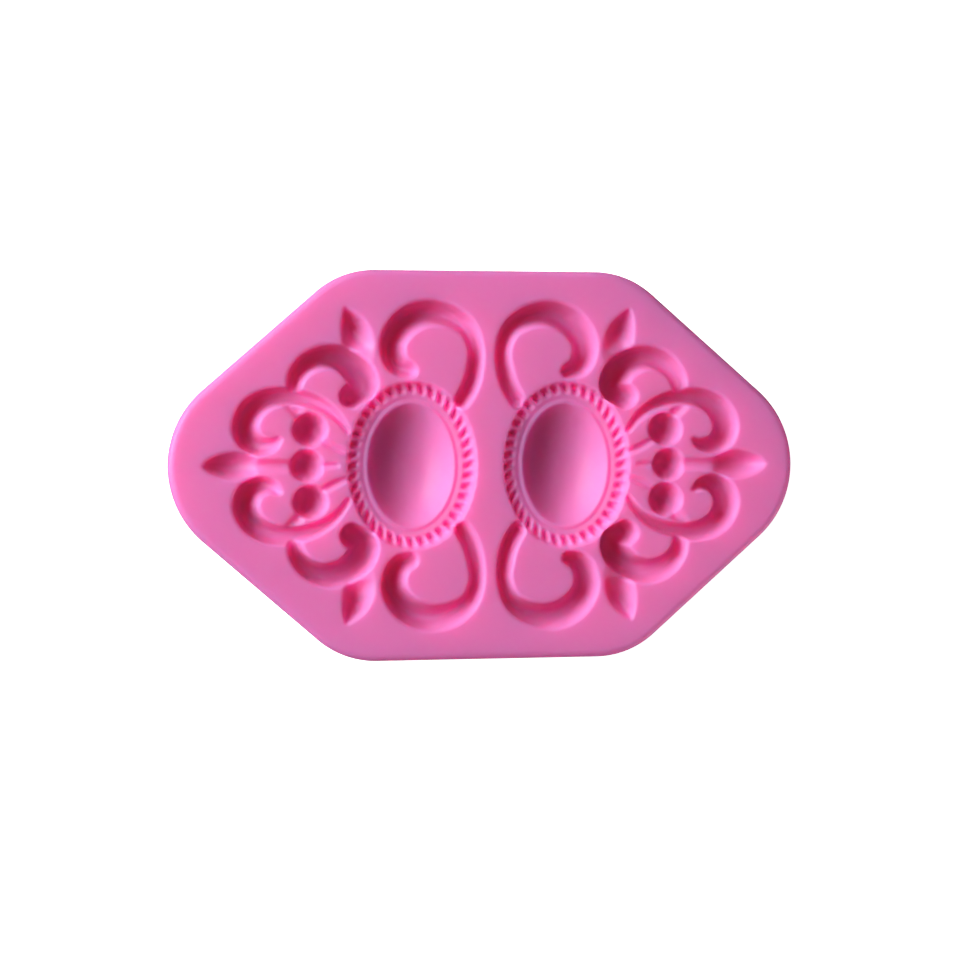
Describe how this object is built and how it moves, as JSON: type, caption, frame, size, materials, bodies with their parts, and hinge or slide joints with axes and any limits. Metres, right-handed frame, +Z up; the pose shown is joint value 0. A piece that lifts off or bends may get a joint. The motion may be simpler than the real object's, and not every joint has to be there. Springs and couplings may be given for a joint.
{
  "type": "flexible casting mould",
  "caption": "Flexible silicone casting mould: a blunt-ended slab with mirrored open cavities for scrollwork cameo frames, bending across its middle.",
  "frame": {"origin": "centre of the slab's flat base", "axes": "+X along the slab's length towards the right-hand cavity, +Y across it, +Z up out of the open cavities"},
  "size_m": [0.092, 0.0562, 0.01],
  "materials": {
    "silicone": "satin cast silicone, slightly translucent, smooth with faint moulding ripples"
  },
  "bodies": {
    "left_side": {"left_half": "silicone"},
    "right_side": {"right_half": "silicone"}
  },
  "joints": [
    {"name": "middle_flex", "type": "hinge", "parent": "left_side", "child": "right_side", "pos_m": [0, 0, 0.01], "axis": [0, -1, 0], "range_deg": [0, 75], "stiffness_Nm_per_rad": 0.15}
  ]
}
